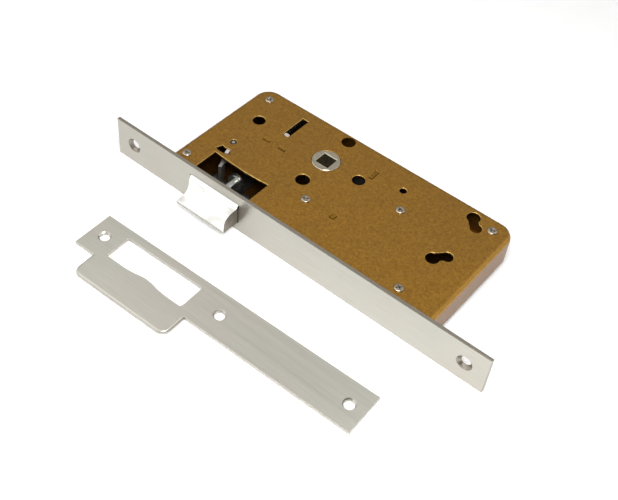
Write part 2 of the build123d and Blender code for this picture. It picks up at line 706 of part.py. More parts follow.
# strike plate: a flat plate with three countersunk holes, a latch slot and a rounded lip
strike_top = Plane(
    (*STRIKE_CENTRE, FLOOR_Z + STRIKE_THICKNESS),
    x_dir=(cos(radians(STRIKE_TURN)), sin(radians(STRIKE_TURN)), 0),
    z_dir=(0, 0, 1),
)
with BuildPart(strike_top) as strike_plate:
    with BuildSketch(strike_top):
        Rectangle(STRIKE_LENGTH, STRIKE_WIDTH)
        with BuildLine():
            FilletPolyline(
                (LIP_START, 0),
                (LIP_START, -LIP_REACH),
                (LIP_END, -LIP_REACH),
                (LIP_END, 0),
                radius=LIP_CORNER_R,
            )
            Line((LIP_END, 0), (LIP_START, 0))
        make_face()
        with BuildLine():
            bow_middle = (STRIKE_BOW_START + STRIKE_BOW_END) / 2
            bow_top = STRIKE_SLOT_LOW + STRIKE_BOW
            Spline(
                (STRIKE_BOW_START, STRIKE_SLOT_LOW),
                (bow_middle, bow_top),
                (STRIKE_BOW_END, STRIKE_SLOT_LOW),
                tangents=((1, 0), (1, 0)),
            )
            FilletPolyline(
                (STRIKE_BOW_END, STRIKE_SLOT_LOW),
                (STRIKE_SLOT_END, STRIKE_SLOT_LOW),
                (STRIKE_SLOT_END, STRIKE_SLOT_HIGH),
                (STRIKE_SLOT_START, STRIKE_SLOT_HIGH),
                (STRIKE_SLOT_START, STRIKE_SLOT_LOW),
                (STRIKE_BOW_START, STRIKE_SLOT_LOW),
                radius=STRIKE_SLOT_CORNER_R,
            )
        make_face(mode=Mode.SUBTRACT)
    extrude(amount=-STRIKE_THICKNESS)
    top_face = strike_plate.faces().sort_by(Axis.Z)[-1]
    lip_line_y = STRIKE_CENTRE[1] - LIP_REACH + LIP_CORNER_R
    fillet(top_face.edges().filter_by(lambda edge: edge.center().Y < lip_line_y), radius=LIP_EDGE_R)
    top_face = strike_plate.faces().sort_by(Axis.Z)[-1]
    lip_root_y = STRIKE_CENTRE[1] - STRIKE_WIDTH / 2 - STRIKE_THICKNESS
    plate_rim = top_face.outer_wire().edges().filter_by(lambda edge: edge.center().Y > lip_root_y)
    fillet(plate_rim + top_face.inner_wires().edges(), radius=PLATE_EDGE_R)
    with Locations((-STRIKE_HOLE_SPACING, 0), (0, 0), (STRIKE_HOLE_SPACING, 0)):
        CounterSinkHole(WOOD_SCREW_R, STRIKE_COUNTERSINK_R, STRIKE_THICKNESS, COUNTERSINK_ANGLE)
save(strike_plate.part, "strike_plate")
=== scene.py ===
import math

import bmesh
import bpy
from mathutils import Matrix, Quaternion, Vector
from mathutils.geometry import interpolate_bezier


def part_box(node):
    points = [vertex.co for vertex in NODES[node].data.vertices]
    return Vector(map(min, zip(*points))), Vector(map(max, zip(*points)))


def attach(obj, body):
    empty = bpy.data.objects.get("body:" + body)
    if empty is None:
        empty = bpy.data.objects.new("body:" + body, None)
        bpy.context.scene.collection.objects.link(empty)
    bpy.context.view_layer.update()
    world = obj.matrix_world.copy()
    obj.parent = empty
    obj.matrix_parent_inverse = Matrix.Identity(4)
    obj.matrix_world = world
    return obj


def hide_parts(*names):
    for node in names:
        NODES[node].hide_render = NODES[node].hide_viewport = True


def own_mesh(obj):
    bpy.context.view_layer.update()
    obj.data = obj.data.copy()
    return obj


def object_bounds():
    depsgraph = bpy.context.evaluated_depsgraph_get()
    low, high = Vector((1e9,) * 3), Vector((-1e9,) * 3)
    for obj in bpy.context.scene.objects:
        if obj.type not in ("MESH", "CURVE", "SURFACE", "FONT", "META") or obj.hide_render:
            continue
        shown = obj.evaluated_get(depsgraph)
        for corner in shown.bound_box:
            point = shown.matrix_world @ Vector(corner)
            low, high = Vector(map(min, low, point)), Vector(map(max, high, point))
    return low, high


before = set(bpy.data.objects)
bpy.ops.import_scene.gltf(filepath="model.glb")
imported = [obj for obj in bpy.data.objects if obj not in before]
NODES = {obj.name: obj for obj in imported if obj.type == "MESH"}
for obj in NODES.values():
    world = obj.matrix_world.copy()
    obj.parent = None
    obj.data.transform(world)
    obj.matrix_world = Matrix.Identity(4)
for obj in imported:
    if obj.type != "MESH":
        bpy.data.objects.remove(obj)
cad_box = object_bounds()

# The looks of a mortise lock and its strike plate.  Lengths are in metres; MM turns millimetres
# into them.  +X runs along the forend, +Y goes into the door, +Z points out of the upper face.
MM = 0.001

CAP_TOP_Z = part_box("case_cap")[1].z
FOREND_FRONT_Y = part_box("forend")[0].y


# ---------------------------------------------------------------- node helpers

def new_material(name, metallic, roughness):
    """A material with one Principled shader; its tree is returned too."""
    material = bpy.data.materials.new(name)
    material.use_nodes = True
    tree = material.node_tree
    shader = tree.nodes["Principled BSDF"]
    shader.inputs["Metallic"].default_value = metallic
    shader.inputs["Roughness"].default_value = roughness
    return material, tree, shader


def finish_look(tree, shader, colour, normal, roughness=None):
    """Connect a look's colour, normal and, where it varies, roughness to the shader."""
    tree.links.new(colour, shader.inputs["Base Color"])
    tree.links.new(normal, shader.inputs["Normal"])
    if roughness is not None:
        tree.links.new(roughness, shader.inputs["Roughness"])


def own_place(tree):
    """Each point's place in the object's own coordinates."""
    return tree.nodes.new("ShaderNodeTexCoord").outputs["Object"]


def noise(tree, scale, detail=2.0, rough=0.5):
    """Noise in the object's own coordinates.

    scale is in cycles per metre: one number, or one each for X, Y and Z.
    """
    mapping = tree.nodes.new("ShaderNodeMapping")
    mapping.inputs["Scale"].default_value = scale if isinstance(scale, tuple) else (scale, scale, scale)
    texture = tree.nodes.new("ShaderNodeTexNoise")
    texture.inputs["Scale"].default_value = 1.0
    texture.inputs["Detail"].default_value = detail
    texture.inputs["Roughness"].default_value = rough
    tree.links.new(own_place(tree), mapping.inputs["Vector"])
    tree.links.new(mapping.outputs["Vector"], texture.inputs["Vector"])
    return texture.outputs[0]


def cells(tree, scale):
    """Rounded cells, as in hammer-finish lacquer; scale is in cells per metre."""
    texture = tree.nodes.new("ShaderNodeTexVoronoi")
    texture.feature = "SMOOTH_F1"
    texture.inputs["Scale"].default_value = scale
    texture.inputs["Smoothness"].default_value = 0.6
    tree.links.new(own_place(tree), texture.inputs["Vector"])
    return texture.outputs["Distance"]


def ramp(tree, factor, *stops):
    """A colour for each value: stops are (value, colour)."""
    node = tree.nodes.new("ShaderNodeValToRGB")
    elements = node.color_ramp.elements
    while len(elements) < len(stops):
        elements.new(0.5)
    for element, (value, colour) in zip(elements, stops):
        element.position = value
        element.color = (*colour, 1.0)
    tree.links.new(factor, node.inputs["Fac"])
    return node.outputs["Color"]


def spread(tree, factor, low, high, from_low=0.3, from_high=0.7):
    """The factor, rescaled to run from low to high."""
    node = tree.nodes.new("ShaderNodeMapRange")
    node.inputs["From Min"].default_value = from_low
    node.inputs["From Max"].default_value = from_high
    node.inputs["To Min"].default_value = low
    node.inputs["To Max"].default_value = high
    tree.links.new(factor, node.inputs["Value"])
    return node.outputs["Result"]


def blend_colours(tree, factor, first, second, kind="MIX"):
    """Two colour outputs mixed by a factor, which may be a number or an output."""
    node = tree.nodes.new("ShaderNodeMix")
    node.data_type = "RGBA"
    node.blend_type = kind
    factor_socket, first_socket, second_socket = (node.inputs[i] for i in (0, 6, 7))
    if isinstance(factor, float):
        factor_socket.default_value = factor
    else:
        tree.links.new(factor, factor_socket)
    tree.links.new(first, first_socket)
    tree.links.new(second, second_socket)
    return node.outputs[2]


def multiplied(tree, colour, tint):
    """A colour multiplied by another one."""
    return blend_colours(tree, 1.0, colour, tint, "MULTIPLY")


def bump(tree, height, strength, depth, under=None):
    """A bumped normal; depth is the relief's height, and under is a normal to build on."""
    node = tree.nodes.new("ShaderNodeBump")
    node.inputs["Strength"].default_value = strength
    node.inputs["Distance"].default_value = depth
    tree.links.new(height, node.inputs["Height"])
    if under is not None:
        tree.links.new(under, node.inputs["Normal"])
    return node.outputs["Normal"]


def squareness(tree, axis):
    """How squarely a face looks along an axis, either way: 1 when it's square on, 0 when it's edge on."""
    geometry = tree.nodes.new("ShaderNodeNewGeometry")
    split = tree.nodes.new("ShaderNodeSeparateXYZ")
    size = tree.nodes.new("ShaderNodeMath")
    size.operation = "ABSOLUTE"
    tree.links.new(geometry.outputs["Normal"], split.inputs["Vector"])
    tree.links.new(split.outputs[axis], size.inputs[0])
    return size.outputs[0]


def facing(tree, axis):
    """Runs from 0 on a plate's cut edges to 1 on the broad faces that look along the axis."""
    return spread(tree, squareness(tree, axis), 0.0, 1.0, 0.75, 0.95)


def combine(tree, operation, first, second):
    """One math node; either input may be a number or an output."""
    node = tree.nodes.new("ShaderNodeMath")
    node.operation = operation
    for socket, value in zip(node.inputs, (first, second)):
        if isinstance(value, float):
            socket.default_value = value
        else:
            tree.links.new(value, socket)
    return node.outputs[0]


def beyond(tree, axis, value):
    """1 past this value along an axis of the lock's own frame, and 0 before it."""
    split = tree.nodes.new("ShaderNodeSeparateXYZ")
    tree.links.new(own_place(tree), split.inputs["Vector"])
    return combine(tree, "GREATER_THAN", split.outputs[axis], value)


def both(tree, first, second):
    """1 where two masks are 1; either may be a number."""
    return combine(tree, "MULTIPLY", first, second)


def inside(tree, low, high):
    """1 within the box between two corners of the lock's own frame, and 0 outside it."""
    within = 1.0
    for axis, start, end in zip("XYZ", low, high):
        stretch = combine(tree, "SUBTRACT", beyond(tree, axis, start), beyond(tree, axis, end))
        within = both(tree, stretch, within)
    return within


def away_from(tree, spots):
    """0 within each spot's radius, and 1 elsewhere; spots are (place, radius)."""
    place = own_place(tree)
    clear = 1.0
    for spot, radius in spots:
        gap = tree.nodes.new("ShaderNodeVectorMath")
        gap.operation = "DISTANCE"
        gap.inputs[1].default_value = spot
        tree.links.new(place, gap.inputs[0])
        clear = both(tree, combine(tree, "GREATER_THAN", gap.outputs["Value"], radius), clear)
    return clear


# ---------------------------------------------------------------- materials

WHITE = (1.0, 1.0, 1.0)
BLACK = (0.0, 0.0, 0.0)
STEEL_DARK = (0.12, 0.11, 0.10)
STEEL_BRIGHT = (0.19, 0.18, 0.16)

# the case: its bend with a little to spare, its sheet, and an inset that keeps the hollow's painted
# shade off the outer faces of the rounded rear corners
OUTER_BEND = 3 * MM
SHEET = 0.9 * MM
CORNER_INSET = 3.3 * MM

# what comes up flush through the case, where the painted rim highlight is left off
FOLLOWER_RING_R = 7.75 * MM
FOLLOWER_MARGIN = 0.8 * MM
TAB_REACH = 3 * MM
TAB_PAINT_DEPTH = 0.5 * MM

# how much brighter a sheared edge is where it glints
SHEAR_GLINT = 1.25

# how far below the case's outer face the catch is still brighter
BRIGHT_TOP_DEPTH = 1.3 * MM

# the floor: its glow, and how far its painted shadow runs past the latch rails
FLOOR_GLOW = 0.06
SEEN_BEHIND = 12 * MM
SEEN_BESIDE = 8 * MM


def hammered(tree):
    """Gold-brown hammer-finish lacquer: its mottled colour, its cells' normal and its roughness."""
    cell = cells(tree, 640)
    fine = noise(tree, 800, 3.0, 0.65)
    broad = noise(tree, 70, 3.0)
    mottle = ramp(
        tree,
        fine,
        (0.33, (0.245, 0.115, 0.012)),
        (0.5, (0.302, 0.150, 0.017)),
        (0.67, (0.360, 0.187, 0.024)),
    )
    patches = ramp(tree, broad, (0.35, (0.94, 0.95, 1.0)), (0.65, (1.0, 0.99, 0.90)))
    pits = ramp(tree, cell, (0.1, WHITE), (0.75, (0.90, 0.88, 0.84)))
    colour = multiplied(tree, multiplied(tree, mottle, patches), pits)
    normal = bump(tree, cell, strength=0.3, depth=0.05 * MM)
    normal = bump(tree, fine, strength=0.25, depth=0.035 * MM, under=normal)
    return colour, normal, spread(tree, fine, 0.33, 0.43)


def flush_spots():
    """What comes up flush through the case, as (place, radius): the follower and the staked tabs."""
    spots = [Vector((0, 0, CAP_TOP_Z))]
    for name in ("carriage_guide", "follower_stop", "spring_seat"):
        for vertex in NODES[name].data.vertices:
            high = vertex.co.z > CAP_TOP_Z - TAB_PAINT_DEPTH
            if high and all((vertex.co - spot).length > TAB_REACH for spot in spots):
                spots.append(vertex.co.copy())
    follower, *tabs = spots
    return [(follower, FOLLOWER_RING_R + FOLLOWER_MARGIN), *((tab, TAB_REACH) for tab in tabs)]


def rolled_rims(tree, edges):
    """1 on the rims of the openings pressed in the case, away from what fills them flush: where the
    painted highlight goes.
    """
    low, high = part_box("case_cap")
    pressed = inside(
        tree,
        (low.x + OUTER_BEND, low.y - OUTER_BEND, low.z - OUTER_BEND),
        (high.x - OUTER_BEND, high.y - OUTER_BEND, high.z + OUTER_BEND),
    )
    return both(tree, edges, both(tree, pressed, away_from(tree, flush_spots())))


def case_hollow(tree):
    """1 on the faces within the case, which get its painted shade, and 0 on its outer ones."""
    skin = Vector((CORNER_INSET, CORNER_INSET, SHEET))
    return inside(tree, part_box("base_plate")[0] + skin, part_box("case_cap")[1] - skin)


def lacquer_material():
    """The case's lacquer: a painted highlight on the rims and on the far bend, painted shade that darkens
    and dulls the walls, and dark painted shade inside.
    """
    material, tree, shader = new_material("case_lacquer_look", 0.78, 0.38)
    shader.inputs["Coat Weight"].default_value = 0.12
    shader.inputs["Coat Roughness"].default_value = 0.2
    colour, normal, roughness = hammered(tree)
    grain = noise(tree, 500)
    # painted highlight: the rims of the pressed openings get a brighter, yellower colour
    rim_highlight = ramp(tree, grain, (0.3, (0.47, 0.30, 0.085)), (0.7, (0.61, 0.41, 0.14)))
    # painted highlight: the bend at the case's far end gets a brighter colour
    bend_highlight = ramp(tree, grain, (0.3, (0.37, 0.195, 0.03)), (0.7, (0.45, 0.245, 0.042)))
    level = squareness(tree, "Z")
    edges = ramp(tree, level, (0.15, BLACK), (0.45, WHITE), (0.78, WHITE), (0.97, BLACK))
    far_end = beyond(tree, "X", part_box("case_cap")[1].x - OUTER_BEND)
    colour = blend_colours(tree, rolled_rims(tree, edges), colour, rim_highlight)
    colour = blend_colours(tree, both(tree, edges, far_end), colour, bend_highlight)
    # painted shade: the steep walls are darkened and dulled
    wall_shade = ramp(tree, level, (0.1, (0.66, 0.59, 0.50)), (0.3, WHITE))
    # painted shade: the faces inside the case are darkened
    hollow_shade = ramp(tree, case_hollow(tree), (0.0, WHITE), (1.0, (0.30, 0.25, 0.22)))
    colour = multiplied(tree, multiplied(tree, colour, wall_shade), hollow_shade)
    finish_look(tree, shader, colour, normal, roughness)
    return material


def tab_material(dark, bright):
    """Pressed steel whose staked tabs were lacquered with the case's outer face."""
    material, tree, shader = new_material("staked_tab_look", 0.9, 0.42)
    colour, normal, roughness = hammered(tree)
    steel = ramp(tree, noise(tree, 260, 3.0, 0.6), (0.3, dark), (0.7, bright))
    painted = beyond(tree, "Z", CAP_TOP_Z - TAB_PAINT_DEPTH)
    finish_look(tree, shader, blend_colours(tree, painted, steel, colour), normal, roughness)
    return material


def brushed_material(name, dark, bright, edge, roughness, axis):
    """Stainless steel brushed along X, on a plate that faces along the axis, with duller cut edges."""
    material, tree, shader = new_material(name, 1.0, roughness)
    hairlines = noise(tree, (45, 3600, 3600), 2.0, 0.6)
    bands = noise(tree, (9, 420, 420))
    clouds = noise(tree, 25)
    shear_marks = noise(tree, (900, 900, 200), 3.0, 0.6)
    lines = ramp(tree, hairlines, (0.3, dark), (0.7, bright))
    broad = ramp(tree, bands, (0.3, (0.965, 0.965, 0.965)), (0.7, WHITE))
    tint = ramp(tree, clouds, (0.35, (1.0, 0.98, 0.965)), (0.65, (0.98, 1.0, 0.985)))
    sheared = ramp(tree, shear_marks, (0.3, edge), (0.7, [SHEAR_GLINT * part for part in edge]))
    colour = multiplied(tree, multiplied(tree, lines, broad), tint)
    colour = blend_colours(tree, facing(tree, axis), sheared, colour)
    tangent = tree.nodes.new("ShaderNodeTangent")
    tangent.direction_type = "RADIAL"
    tangent.axis = "X"
    shader.inputs["Anisotropic"].default_value = 0.6
    tree.links.new(tangent.outputs["Tangent"], shader.inputs["Tangent"])
    normal = bump(tree, hairlines, strength=0.2, depth=0.01 * MM)
    finish_look(tree, shader, colour, normal, spread(tree, bands, roughness - 0.03, roughness + 0.03))
    return material


def fine_finish(tree, shader, colour, roughness, dents):
    """Finish a metal's look with a slightly uneven gloss and a faint relief."""
    fine = noise(tree, 2600)
    normal = bump(tree, fine, strength=dents, depth=0.02 * MM)
    finish_look(tree, shader, colour, normal, spread(tree, fine, roughness - 0.05, roughness + 0.05))


def plated_material(name, dark, bright, roughness, grain=260.0, dents=0.15):
    """Plated or cast metal of a cloudy colour."""
    material, tree, shader = new_material(name, 1.0, roughness)
    clouds = noise(tree, grain, 3.0, 0.6)
    fine_finish(tree, shader, ramp(tree, clouds, (0.3, dark), (0.7, bright)), roughness, dents)
    return material


def catch_material():
    """Dull plated steel, brighter near the case's outer face."""
    roughness = 0.42
    material, tree, shader = new_material("catch_steel_look", 1.0, roughness)
    clouds = noise(tree, 260, 3.0, 0.6)
    dull = ramp(tree, clouds, (0.3, (0.34, 0.33, 0.305)), (0.7, (0.45, 0.435, 0.405)))
    bright_top = ramp(tree, clouds, (0.3, (0.76, 0.69, 0.66)), (0.7, (0.86, 0.79, 0.76)))
    colour = blend_colours(tree, beyond(tree, "Z", CAP_TOP_Z - BRIGHT_TOP_DEPTH), dull, bright_top)
    fine_finish(tree, shader, colour, roughness, dents=0.15)
    return material


def plastic_material():
    """Pale moulded plastic with a faint grain."""
    material, tree, shader = new_material("pin_plastic_look", 0.0, 0.42)
    grain = noise(tree, 1500)
    colour = ramp(tree, grain, (0.3, (0.36, 0.305, 0.27)), (0.7, (0.46, 0.40, 0.355)))
    finish_look(tree, shader, colour, bump(tree, grain, strength=0.2, depth=0.02 * MM))
    return material


def floor_material():
    """A white table top with a hardly visible grain and a faint glow; a painted shadow, without the glow,
    under the latch window.
    """
    material, tree, shader = new_material("floor_look", 0.0, 0.9)
    grain = noise(tree, 60)
    colour = ramp(tree, grain, (0.3, (0.93, 0.93, 0.93)), (0.7, (0.95, 0.95, 0.95)))
    shader.inputs["Specular IOR Level"].default_value = 0.1
    shader.inputs["Emission Color"].default_value = (1.0, 1.0, 1.0, 1.0)
    low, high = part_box("latch_rails")
    covered = inside(tree, (low.x - SEEN_BESIDE, low.y, -1.0), (high.x, high.y + SEEN_BEHIND, 1.0))
    # painted shadow: the floor that shows through the case's lower window is darkened
    shade = ramp(tree, covered, (0.0, WHITE), (1.0, (0.12, 0.12, 0.12)))
    tree.links.new(spread(tree, covered, FLOOR_GLOW, 0.0, 0.0, 1.0), shader.inputs["Emission Strength"])
    tree.links.new(multiplied(tree, colour, shade), shader.inputs["Base Color"])
    return material


LACQUER = lacquer_material()
FOREND_STEEL = brushed_material(
    "forend_steel_look", (0.43, 0.415, 0.375), (0.50, 0.485, 0.44), (0.26, 0.235, 0.195), 0.34, "Y"
)
STRIKE_STEEL = brushed_material(
    "strike_steel_look", (0.525, 0.50, 0.445), (0.60, 0.58, 0.52), (0.42, 0.40, 0.36), 0.36, "Z"
)
NICKEL = plated_material("nickel_look", (0.90, 0.89, 0.855), (0.94, 0.93, 0.90), 0.38, 120.0, 0.05)
# the latch's end faces: an unpolished finish, and painted shade that darkens it further
RAW_END_AND_SHADE = plated_material("latch_end_look", (0.20, 0.18, 0.155), (0.27, 0.245, 0.21), 0.45, 300.0, 0.3)
RAW_NOSE = plated_material("latch_nose_look", (0.40, 0.38, 0.34), (0.50, 0.475, 0.43), 0.45, 300.0, 0.2)
ZINC = plated_material("zinc_plate_look", (0.37, 0.38, 0.36), (0.49, 0.50, 0.47), 0.28)
CATCH_STEEL = catch_material()
CAST_ZINC = plated_material("cast_zinc_look", (0.37, 0.33, 0.255), (0.49, 0.44, 0.34), 0.36)
PRESSED_STEEL = plated_material("pressed_steel_look", STEEL_DARK, STEEL_BRIGHT, 0.42)
STAKED_TABS = tab_material(STEEL_DARK, STEEL_BRIGHT)
SPRING_WIRE = plated_material("spring_wire_look", (0.16, 0.155, 0.15), (0.24, 0.235, 0.23), 0.3)
PIN_PLASTIC = plastic_material()
SCREW_ZINC = plated_material("screw_zinc_look", (0.34, 0.295, 0.235), (0.46, 0.40, 0.32), 0.32)


def dress(obj, material):
    """Give every part of an object this material."""
    obj.data.materials.clear()
    obj.data.materials.append(material)


for material, names in (
    (LACQUER, ("case_cap", "base_plate")),
    (FOREND_STEEL, ("forend",)),
    (STRIKE_STEEL, ("strike_plate",)),
    (ZINC, ("tail_rod", "tail_spool", "catch_rivet", "spring_rod")),
    (CATCH_STEEL, ("reversing_catch",)),
    (CAST_ZINC, ("follower",)),
    (PRESSED_STEEL, ("case_posts", "latch_rails", "latch_carriage", "spring_bracket", "catch_washer")),
    (STAKED_TABS, ("carriage_guide", "follower_stop", "spring_seat")),
    (PIN_PLASTIC, ("carriage_pin",)),
):
    for name in names:
        dress(NODES[name], material)


# ---------------------------------------------------------------- mesh helpers

def new_piece(name, mesh, material, body, node):
    """A finished piece that replaces a CAD node and rides on its body."""
    piece = bpy.data.objects.new(name, mesh)
    bpy.context.scene.collection.objects.link(piece)
    dress(piece, material)
    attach(piece, body)
    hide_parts(node)
    return piece


def baked_mesh(obj):
    """The object's mesh with its modifiers applied; the object itself is taken away."""
    bpy.context.view_layer.update()
    evaluated = obj.evaluated_get(bpy.context.evaluated_depsgraph_get())
    mesh = bpy.data.meshes.new_from_object(evaluated)
    bpy.data.objects.remove(obj)
    return mesh


def helper_object(name, grid):
    """A bare object made from a bmesh, which is used up."""
    mesh = bpy.data.meshes.new(name)
    grid.to_mesh(mesh)
    grid.free()
    obj = bpy.data.objects.new(name, mesh)
    bpy.context.scene.collection.objects.link(obj)
    return obj


def smooth_path(points, steps):
    """A smooth line through the points; each stretch between two of them is cut into steps."""
    ends = [points[0] * 2 - points[1], *points, points[-1] * 2 - points[-2]]
    path = []
    for before, start, end, after in zip(ends, ends[1:], ends[2:], ends[3:]):
        leaving = start + (end - before) / 6
        arriving = end - (after - start) / 6
        path += interpolate_bezier(start, leaving, arriving, end, steps + 1)[:-1]
    return path + [points[-1]]


def lofted(loops):
    """A closed skin over loops of points that have the same number of points each."""
    grid = bmesh.new()
    rings = [[grid.verts.new(point) for point in loop] for loop in loops]
    for ring, following in zip(rings, rings[1:]):
        count = len(ring)
        for i in range(count):
            j = (i + 1) % count
            grid.faces.new((ring[i], ring[j], following[j], following[i]))
    grid.faces.new(reversed(rings[0]))
    grid.faces.new(rings[-1])
    bmesh.ops.recalc_face_normals(grid, faces=grid.faces)
    return grid


def circle(radius, height, steps):
    """Points around the Z axis."""
    return [
        Vector((radius * math.cos(angle), radius * math.sin(angle), height))
        for angle in (2 * math.pi * i / steps for i in range(steps))
    ]


# ---------------------------------------------------------------- latch head

# the face's outline at its hollow end and at its full end, in millimetres: (throw out of the
# forend, height over the case's middle)
HOLLOW_FACE = ((0, 6.2), (1.5, 3.6), (1.8, 0.4), (3.4, -2.9), (6.4, -4.3), (11, -4.6))
FULL_FACE = ((0, 6.2), (1.6, 4.6), (4.6, 4.3), (8.2, 3.3), (10.4, 0), (11, -4.6))
HEAD_SECTIONS = 36
FACE_STEPS = 8
HEAD_EDGE = 0.3 * MM
HEAD_EDGE_ANGLE = math.radians(35)
NOSE_FOOT_Z = HOLLOW_FACE[-1][1] * MM

# a face counts as looking along an axis when its normal has at least this much of it
SQUARE_ON = 0.95


def face_outline(x, face):
    """One end's outline of the twisted face, as a smooth line of points."""
    corners = [Vector((x, FOREND_FRONT_Y - throw * MM, height * MM)) for throw, height in face]
    return smooth_path(corners, FACE_STEPS)


def head_skin():
    """The twisted face, skinned between its two end outlines, with the square block behind it."""
    low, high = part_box("latch_head")
    hollow_end = face_outline(low.x, HOLLOW_FACE)
    full_end = face_outline(high.x, FULL_FACE)
    loops = []
    for i in range(HEAD_SECTIONS + 1):
        face = [hollow.lerp(full, i / HEAD_SECTIONS) for hollow, full in zip(hollow_end, full_end)]
        x = face[0].x
        block = [Vector((x, low.y, low.z)), Vector((x, high.y, low.z)), Vector((x, high.y, high.z))]
        loops.append(face + block)
    return lofted(loops)


def dull_ends(latch):
    """Give the head's two end faces their duller finish, painted darker as shade, and the low strip of its
    nose its duller finish.
    """
    latch.data.materials.append(RAW_END_AND_SHADE)
    latch.data.materials.append(RAW_NOSE)
    for polygon in latch.data.polygons:
        if abs(polygon.normal.x) > SQUARE_ON:
            polygon.material_index = 1
        elif polygon.normal.y < -SQUARE_ON and polygon.center.z < NOSE_FOOT_Z:
            polygon.material_index = 2


def make_latch_head():
    """The latch head with its twisted anti-friction face and soft edges."""
    head = helper_object("head", head_skin())
    head.data.shade_smooth()
    bevel = head.modifiers.new("soft_edges", "BEVEL")
    bevel.width = HEAD_EDGE
    bevel.segments = 3
    bevel.limit_method = "ANGLE"
    bevel.angle_limit = HEAD_EDGE_ANGLE
    bevel.harden_normals = True
    mesh = baked_mesh(head)
    dull_ends(new_piece("latch_head_twisted", mesh, NICKEL, "latch", "latch_head"))


# ---------------------------------------------------------------- case screws

SCREW_SHANK_R = 1.45 * MM
SCREW_CORE_R = 1.2 * MM
SCREW_PITCH = 0.5 * MM
SCREW_THREAD_START = 2 * SCREW_PITCH
SCREW_TIP_SHARE = 0.6
SCREW_SMOOTH_ANGLE = math.radians(32)
ROUND_STEPS = 40
RECESS_ARM = 1.55 * MM
RECESS_ARM_DEEP = 0.7 * MM
RECESS_HALF_WIDTH = 0.36 * MM
RECESS_HALF_WIDTH_DEEP = 0.2 * MM
RECESS_DEPTH = 1.1 * MM
TICK_START = 0.85 * MM
TICK_END = 1.6 * MM
TICK_HALF_WIDTH = 0.09 * MM
TICK_DEPTH = 0.16 * MM
CUT_ABOVE = 0.3 * MM

# points of the screws' CAD node that lie nearer together than this belong to one screw
SCREW_SPACE = 8 * MM

# how far each screw is turned past the one before it, in radians
SCREW_TURN = 0.9

# the pan head from its top down: (share of its radius, share of its height)
PAN_HEAD = ((0.45, 0), (0.72, 0.04), (0.88, 0.2), (0.97, 0.5), (1, 0.8))


def middle_of(values):
    """Half way between the least and the greatest value."""
    return (min(values) + max(values)) / 2


def screw_centres():
    """Where each screw of the CAD node stands: its points are gathered by how near they lie."""
    groups = []
    for vertex in NODES["cap_screws"].data.vertices:
        spot = vertex.co.xy
        near = next((group for group in groups if (group[0] - spot).length < SCREW_SPACE), None)
        if near is None:
            groups.append([spot])
        else:
            near.append(spot)
    return [Vector((middle_of([p.x for p in group]), middle_of([p.y for p in group]))) for group in groups]


def cross_outline(arm, half_width, height):
    """A plus sign, as points."""
    corners = []
    for quarter in range(4):
        turn = Quaternion((0, 0, 1), quarter * math.pi / 2)
        for x, y in ((half_width, half_width), (half_width, arm), (-half_width, arm)):
            corners.append(turn @ Vector((x, y, height)))
    return corners


def add_tick(cutter, turn, top):
    """One short tick of the recess: a bar between two heights, turned about the screw's axis."""
    outline = (
        (TICK_START, -TICK_HALF_WIDTH),
        (TICK_END, -TICK_HALF_WIDTH),
        (TICK_END, TICK_HALF_WIDTH),
        (TICK_START, TICK_HALF_WIDTH),
    )
    lower, upper = (
        [cutter.verts.new(turn @ Vector((x, y, height))) for x, y in outline]
        for height in (top - TICK_DEPTH, top + CUT_ABOVE)
    )
    cutter.faces.new(reversed(lower))
    cutter.faces.new(upper)
    for i in range(4):
        j = (i + 1) % 4
        cutter.faces.new((lower[i], lower[j], upper[j], upper[i]))


def recess_cutter(top):
    """The driver recess: a tapering cross, and four short ticks between its arms."""
    cutter = lofted([
        cross_outline(RECESS_ARM_DEEP, RECESS_HALF_WIDTH_DEEP, top - RECESS_DEPTH),
        cross_outline(RECESS_ARM, RECESS_HALF_WIDTH, top),
        cross_outline(RECESS_ARM, RECESS_HALF_WIDTH, top + CUT_ABOVE),
    ])
    for quarter in range(4):
        add_tick(cutter, Quaternion((0, 0, 1), (quarter + 0.5) * math.pi / 2), top)
    bmesh.ops.recalc_face_normals(cutter, faces=cutter.faces)
    return cutter


def screw_profile(head_radius, head_low, head_high, tip):
    """From the head's top to the tip: a pan head, then a shank with its thread as close rings."""
    height = head_high - head_low
    depth = head_low - SCREW_THREAD_START
    profile = [(wide * head_radius, head_high - down * height) for wide, down in PAN_HEAD]
    profile += [(head_radius, head_low), (SCREW_SHANK_R, head_low), (SCREW_SHANK_R, depth)]
    while depth - SCREW_PITCH > tip + SCREW_PITCH:
        profile += [(SCREW_CORE_R, depth - SCREW_PITCH / 2), (SCREW_SHANK_R, depth - SCREW_PITCH)]
        depth -= SCREW_PITCH
    return profile + [(SCREW_CORE_R, tip + SCREW_PITCH / 2), (SCREW_TIP_SHARE * SCREW_CORE_R, tip)]


def one_screw(head_radius, low_z, high_z):
    """The mesh of one screw on the Z axis, with the driver recess cut out of its head."""
    profile = screw_profile(head_radius, CAP_TOP_Z, high_z, low_z)
    screw = helper_object("screw", lofted([circle(*ring, ROUND_STEPS) for ring in reversed(profile)]))
    cutter = helper_object("cutter", recess_cutter(high_z))
    cut = screw.modifiers.new("recess", "BOOLEAN")
    cut.object = cutter
    cut.solver = "EXACT"
    mesh = baked_mesh(screw)
    bpy.data.objects.remove(cutter)
    return mesh


